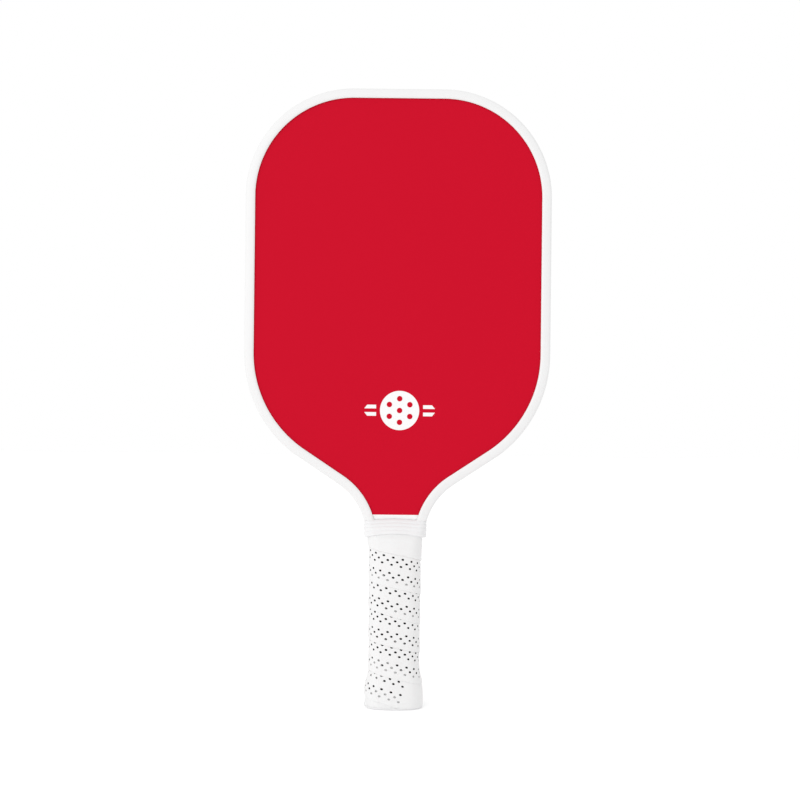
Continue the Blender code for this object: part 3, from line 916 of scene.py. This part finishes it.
def make_badge(material):
    """Domed disc in the recess, turned like a coin with one raised ring."""
    shape = bmesh.new()
    rows = [(radius * MM, height * MM) for radius, height in BADGE_PROFILE[1:]]
    loops = [round_loop(shape, radius, height) for radius, height in rows]
    loops.append(round_loop(shape, BADGE_RADIUS, BADGE_TOP - BADGE_EDGE))
    loops.append(round_loop(shape, BADGE_RADIUS - BADGE_EDGE, BADGE_TOP))
    skin(shape, loops)
    fan(shape, loops[0], (0, 0, BADGE_PROFILE[0][1] * MM), facing_up=False)
    fan(shape, loops[-1], (0, 0, BADGE_TOP), facing_up=True)
    piece = finish_mesh("butt_badge_dome", shape, [material])
    hand_over(piece, "badge_resin", "butt_badge")


# Collar


def arched_loop(shape, table, levels, arches, share, swell=0.0, pinch=0.0):
    """Loop a share of the way up a band whose edges rise over both faces.

    It swells out evenly, and is pinched in over the faces.
    """
    loop = []
    for i in range(RING_POINTS):
        turn = i / RING_POINTS
        facing = abs(cos(2 * pi * turn))
        low = levels[0] + arches[0] * facing**2
        high = levels[1] + arches[1] * facing**4
        height = mix(low, high, share)
        x, y, nx, ny = on_section(section_at(table, height), turn)
        out = swell - pinch * facing**2
        loop.append(shape.verts.new((x + nx * out, y + ny * out, height)))
    return loop


def rounded_rim(table):
    """Share, swell and pinch of the loops round one edge of the collar."""
    return [
        (share, -lip * COLLAR_LIP, pinch * COLLAR_PINCH) for share, lip, pinch in table
    ]


def ribs():
    """Share and swell of the loops over the collar's ribs."""
    waves = []
    for low, high in zip(RIB_EDGES, RIB_EDGES[1:]):
        for step in range(RIB_STEPS):
            wave = sin(pi * step / RIB_STEPS) ** RIB_FULLNESS
            share = mix(low, high, step / RIB_STEPS)
            waves.append((share, RIB_HEIGHT * (wave - RIB_SINK)))
    return waves


def make_collar(material):
    """Tapered rubber band with rounded ribs, its lower edge arched over each face."""
    shape = bmesh.new()
    band = (COLLAR_BOTTOM, COLLAR_TOP), (COLLAR_ARCH, COLLAR_TOP_ARCH)
    rims = rounded_rim(LOWER_RIM) + ribs()[1:] + rounded_rim(UPPER_RIM)
    outside = [arched_loop(shape, COLLAR_OUTSIDE, *band, *rim) for rim in rims]
    linings = rounded_rim(LINING_RIM)
    linings += [(i / LINING_STEPS, 0.0) for i in range(1, LINING_STEPS + 1)]
    inside = [arched_loop(shape, COLLAR_INSIDE, *band, *lining) for lining in linings]
    skin(shape, outside + inside[::-1], closed_round=True)
    piece = finish_mesh("grip_collar_band", shape, [material])
    hand_over(piece, "collar_rubber", "grip_collar")


def make_binding(material):
    """Turn of tape over the wrap's upper end, hidden under the collar."""
    shape = bmesh.new()
    band = (BINDING_BOTTOM, BINDING_TOP), (BINDING_ARCH, 0.0)
    shares = [i / BINDING_STEPS for i in range(BINDING_STEPS + 1)]
    outside = [arched_loop(shape, BINDING_OUTSIDE, *band, share) for share in shares]
    inside = [arched_loop(shape, BINDING_INSIDE, *band, share) for share in shares]
    skin(shape, outside + inside[::-1], closed_round=True)
    piece = finish_mesh("grip_binding_tape", shape, [material])
    hand_over(piece, "finishing_tape", "grip_finishing_tape")


# Wound strip


def strip_height(turn):
    """Height of the strip's lower edge at a turn."""
    return lookup(STRIP_LEVELS, turn)[0] * MM


def face_height(turn, across):
    """Height of the strip's outer face over the sleeve, away from its lower edge."""
    sink = START_SINK * (1 - smoothstep(*START_TURNS, turn))
    return lookup(FACE_HEIGHTS, across / MM)[0] * MM - sink


def outer_offset(turn, across):
    """Height of the outer face with its lower edge rolled down onto the turn before."""
    top = face_height(turn, across)
    if across >= EDGE_ROLL:
        return top
    below = strip_height(turn) - strip_height(turn - 1)
    base = face_height(turn - 1, below) + WRAP_GAP if below < STRIP_WIDTH else BACKING
    bulge = 1 - (1 - across / EDGE_ROLL) ** 2
    return mix(base + EDGE_FOOT, top, sqrt(max(0.0, bulge)))


def under_offset(turn, across):
    """Height of the underside: on the turn before, then on the handle."""
    below = strip_height(turn) - strip_height(turn - 1) + across
    if turn < STRIP_START + 1 or below > STRIP_WIDTH:
        return BACKING
    lying = face_height(turn - 1, below) + WRAP_GAP
    free = smoothstep(STRIP_WIDTH - BACKING_STEP, STRIP_WIDTH, below)
    return mix(lying, BACKING, free)


def strip_point(turn, across, offset):
    """Place of a point of the strip, at an offset from the sleeve."""
    height = strip_height(turn) + across
    x, y, nx, ny = on_section(section_at(WRAP_SECTIONS, height), turn)
    return x + nx * offset, y + ny * offset, height


def leaned(turn, across):
    """Turn of a place across the strip, for rows of holes square to its edges."""
    return turn - STRIP_LEAN * across


def trimmed(turn, across):
    """Turn and place across the strip, kept between the level trims."""
    kept = across
    for _ in range(4):
        base = strip_height(leaned(turn, kept))
        kept = min(STRIP_HIGH - base, max(STRIP_LOW - base, across))
    return leaned(turn, kept), kept


def strip_turns():
    """Turn of every column of the strip, which advances at an even length."""
    step = TILE_LENGTH / TILE_SPLIT
    turns = [STRIP_START]
    while turns[-1] < STRIP_END:
        height = max(STRIP_LOW, strip_height(turns[-1]) + PACE_ROW)
        pace = step * mix(FIRST_PACE, 1.0, smoothstep(0.0, 1.0, turns[-1]))
        turns.append(turns[-1] + pace / around(section_at(WRAP_SECTIONS, height)))
    spare = (len(turns) - 1) % TILE_SPLIT
    return turns[: len(turns) - spare]


def strip_rows():
    """Places across the strip of its rows of vertices, and where hole tiles start."""
    rows = [row * MM for row in EDGE_ROWS]
    tiles = []
    for start in (LOWER_ROWS, UPPER_ROWS):
        for tile in range(ROWS):
            tiles.append(len(rows))
            rows += [
                start + TILE_HEIGHT * (tile + i / TILE_SPLIT) for i in range(TILE_SPLIT)
            ]
        rows.append(start + TILE_HEIGHT * ROWS)
        if start == LOWER_ROWS:
            gap = UPPER_ROWS - rows[-1]
            rows += [rows[-1] + gap * i / GAP_ROWS for i in range(1, GAP_ROWS)]
    rows += [mix(rows[-1], STRIP_WIDTH, share) for share in UPPER_EDGE_ROWS]
    return rows, tiles


def make_hole(shape, border, centre_turn, turn_per_metre, across):
    """Joins a tile's border to a sunken oval hole.

    It is shallower where the strip lies over the turn before, and there its floor and
    lower walls take painted grey shade for the shaded turn seen through it.
    """
    middle = leaned(centre_turn, across)
    bed = under_offset(middle, across)
    depth = min(HOLE_DEPTH, outer_offset(middle, across) - bed - WRAP_GAP)
    below = strip_height(middle) - strip_height(middle - 1) + across
    through = below > STRIP_WIDTH - THIN_EDGE
    angles = []
    for vertex_turn, vertex_across in border[1]:
        angles.append(
            atan2(
                (vertex_across - across) / (TILE_HEIGHT / 2),
                (vertex_turn - centre_turn) / turn_per_metre / (TILE_LENGTH / 2),
            )
        )
    loops = [border[0]]
    for scale, sink in HOLE_RINGS:
        loop = []
        for angle in angles:
            place = across + sin(angle) * HOLE_HALF_HEIGHT * scale
            along = cos(angle) * HOLE_HALF_LENGTH * scale
            turn = leaned(centre_turn + along * turn_per_metre, place)
            offset = outer_offset(turn, place) - sink * depth
            loop.append(shape.verts.new(strip_point(turn, place, offset)))
        loops.append(loop)
    lining = []
    for number, (outer, inner) in enumerate(zip(loops, loops[1:])):
        count = len(outer)
        for i in range(count):
            j = (i + 1) % count
            face = shape.faces.new((outer[i], outer[j], inner[j], inner[i]))
            if number >= SKIN_RINGS:
                lining.append(face)
    lining.append(shape.faces.new(loops[-1]))
    for face in lining:
        # holes over the turn before get painted grey shade instead of the black foam
        face.material_index = DARK_FOAM if through else GREY_FOAM


def make_wrap(materials):
    """One closed strip wound up the handle, with rows of holes and plain ends."""
    shape = bmesh.new()
    turns = strip_turns()
    rows, tiles = strip_rows()
    under = [row * MM for row in UNDER_ROWS]
    top, bottom = [], []
    for turn in turns:
        column = []
        for row in rows:
            place = trimmed(turn, row)
            column.append(shape.verts.new(strip_point(*place, outer_offset(*place))))
        top.append(column)
        column = []
        for row in under:
            place = trimmed(turn, row)
            column.append(shape.verts.new(strip_point(*place, under_offset(*place))))
        bottom.append(column)
    for first in range(0, len(turns) - 1, TILE_SPLIT):
        number = first // TILE_SPLIT
        centre_turn = turns[first + TILE_SPLIT // 2]
        holed = HOLE_TURNS[0] < centre_turn < HOLE_TURNS[1]
        row = 0
        while row < len(rows) - 1:
            if row in tiles:
                across = rows[row] + TILE_HEIGHT / 2
                height = strip_height(leaned(centre_turn, across)) + across
                clear = height - HOLE_CLEARANCE > STRIP_LOW
                if holed and clear and (number + tiles.index(row) % ROWS) % 2 == 0:
                    add_hole_tile(
                        shape, top, turns, rows, first, row, centre_turn, across
                    )
                else:
                    add_plain(shape, top, first, row, TILE_SPLIT, holed)
                row += TILE_SPLIT
            else:
                add_plain(shape, top, first, row, 1, holed)
                row += 1
    close_strip(shape, top, bottom)
    bmesh.ops.remove_doubles(shape, verts=shape.verts, dist=WELD)
    unused = [vertex for vertex in shape.verts if not vertex.link_faces]
    bmesh.ops.delete(shape, geom=unused, context="VERTS")
    piece = finish_mesh("grip_wrap_strip", shape, materials)
    hand_over(piece, "wrap_leather", "grip_wrap")


def add_plain(shape, top, first, row, count, holed):
    """Quads of one tile or of one row, between two columns of tiles."""
    for column in range(first, first + TILE_SPLIT):
        for step in range(row, row + count):
            face = shape.faces.new(
                (
                    top[column][step],
                    top[column][step + 1],
                    top[column + 1][step + 1],
                    top[column + 1][step],
                )
            )
            face.material_index = PERFORATED if holed else PLAIN


def add_hole_tile(shape, top, turns, rows, first, row, centre_turn, across):
    """A tile with a hole in it."""
    last = TILE_SPLIT
    around_tile = (
        [(0, i) for i in range(last)]
        + [(i, last) for i in range(last)]
        + [(last, last - i) for i in range(last)]
        + [(last - i, 0) for i in range(last)]
    )
    vertices = [top[first + i][row + j] for i, j in around_tile]
    places = [(turns[first + i], rows[row + j]) for i, j in around_tile]
    turn_per_metre = (turns[first + last] - turns[first]) / TILE_LENGTH
    make_hole(shape, (vertices, places), centre_turn, turn_per_metre, across)


def close_strip(shape, top, bottom):
    """Underside, both edges and both ends."""
    for column in range(len(top) - 1):
        here, there = bottom[column], bottom[column + 1]
        for row in range(len(here) - 1):
            face = shape.faces.new(
                (here[row + 1], here[row], there[row], there[row + 1])
            )
            face.material_index = UNDERSIDE
        for a, b, c, d in (
            (top[column][0], top[column + 1][0], there[0], here[0]),
            (here[-1], there[-1], top[column + 1][-1], top[column][-1]),
        ):
            shape.faces.new((a, b, c, d)).material_index = UNDERSIDE
    shape.faces.new(bottom[0] + top[0][::-1]).material_index = UNDERSIDE
    shape.faces.new(top[-1] + bottom[-1][::-1]).material_index = UNDERSIDE


# Carried-over CAD nodes


def dress(node, material):
    """Gives a CAD node one material."""
    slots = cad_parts[node].data.materials
    slots.clear()
    slots.append(material)


def dress_cad_nodes():
    """Finishes of the CAD nodes that are shown as they are."""
    dress("front_face", printed_face("front_face_print", emblem=True))
    dress("back_face", printed_face("back_face_print", emblem=False))
    core = translucent_polymer("core_polymer", (0.78, 0.77, 0.72), 4 * MM)
    dress("honeycomb_core", core)
    film = translucent_polymer("core_film", (0.85, 0.86, 0.84), 8 * MM)
    for node in ("front_core_film", "back_core_film"):
        dress(node, film)
    dress("edge_guard_tape", woven_tape("edge_tape", (0.8, 0.8, 0.78)))
    wood = pallet_wood()
    for node in ("handle_pallet_front", "handle_pallet_back"):
        dress(node, wood)
    steel = staple_steel()
    for node in ("butt_cap_staple_front", "butt_cap_staple_back"):
        dress(node, steel)


# Studio


def make_camera():
    """Camera that looks level along +Y, rolled a little."""
    data = bpy.data.cameras.new("camera")
    data.lens = CAMERA_LENS
    camera = bpy.data.objects.new("camera", data)
    bpy.context.scene.collection.objects.link(camera)
    upright = Matrix.Rotation(pi / 2, 4, "X")
    roll = Matrix.Rotation(CAMERA_ROLL, 4, "Z")
    camera.matrix_world = Matrix.Translation(CAMERA_PLACE) @ upright @ roll
    bpy.context.scene.camera = camera


def make_lights():
    """White sky, with a broad soft key from the front left."""
    scene = bpy.context.scene
    scene.view_settings.view_transform = "Standard"
    scene.view_settings.look = "None"
    world = bpy.data.worlds.new("studio")
    world.use_nodes = True
    background = world.node_tree.nodes["Background"]
    background.inputs["Color"].default_value = (1, 1, 1, 1)
    background.inputs["Strength"].default_value = SKY_STRENGTH
    scene.world = world
    data = bpy.data.lights.new("key", "SUN")
    data.energy = SUN_STRENGTH
    data.angle = SUN_ANGLE
    key = bpy.data.objects.new("key", data)
    key.rotation_mode = "QUATERNION"
    key.rotation_quaternion = Vector(SUN_FROM).to_track_quat("Z", "Y")
    scene.collection.objects.link(key)


def make_floor():
    """Sheet of paper that the butt stands on."""
    shape = bmesh.new()
    cells = FLOOR_CELLS
    bmesh.ops.create_grid(shape, x_segments=cells, y_segments=cells, size=FLOOR_HALF)
    floor = finish_mesh("floor", shape, [floor_paper()])
    floor.location.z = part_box("butt_cap")[0].z


def main():
    make_camera()
    make_lights()
    make_floor()
    white_plastic = moulded_plastic("guard_plastic", (0.735, 0.735, 0.735), 0.42)
    cap_plastic = moulded_plastic("cap_plastic", (0.75, 0.75, 0.755), 0.45, 0.5 * MM)
    make_guard(white_plastic)
    make_cap(cap_plastic)
    make_badge(badge_resin())
    make_collar(collar_rubber())
    make_binding(woven_tape("finishing_tape", (0.82, 0.83, 0.84)))
    make_wrap(
        [
            wrap_leather("wrap_perforated", (0.735,) * 3, 0.55 * MM, 0.02 * MM, 0.6),
            wrap_leather("wrap_plain", (0.735,) * 3, 0.4 * MM, 0.01 * MM, 0.55),
            foam("wrap_foam", 0.004, 0.016),
            wrap_leather("wrap_backing", (0.74,) * 3, 0.7 * MM, 0.03 * MM, 0.8),
            # painted grey shade for the floors of holes over the turn before
            foam("wrap_hole_painted_shade", 0.42, 0.58),
        ]
    )
    dress_cad_nodes()


main()
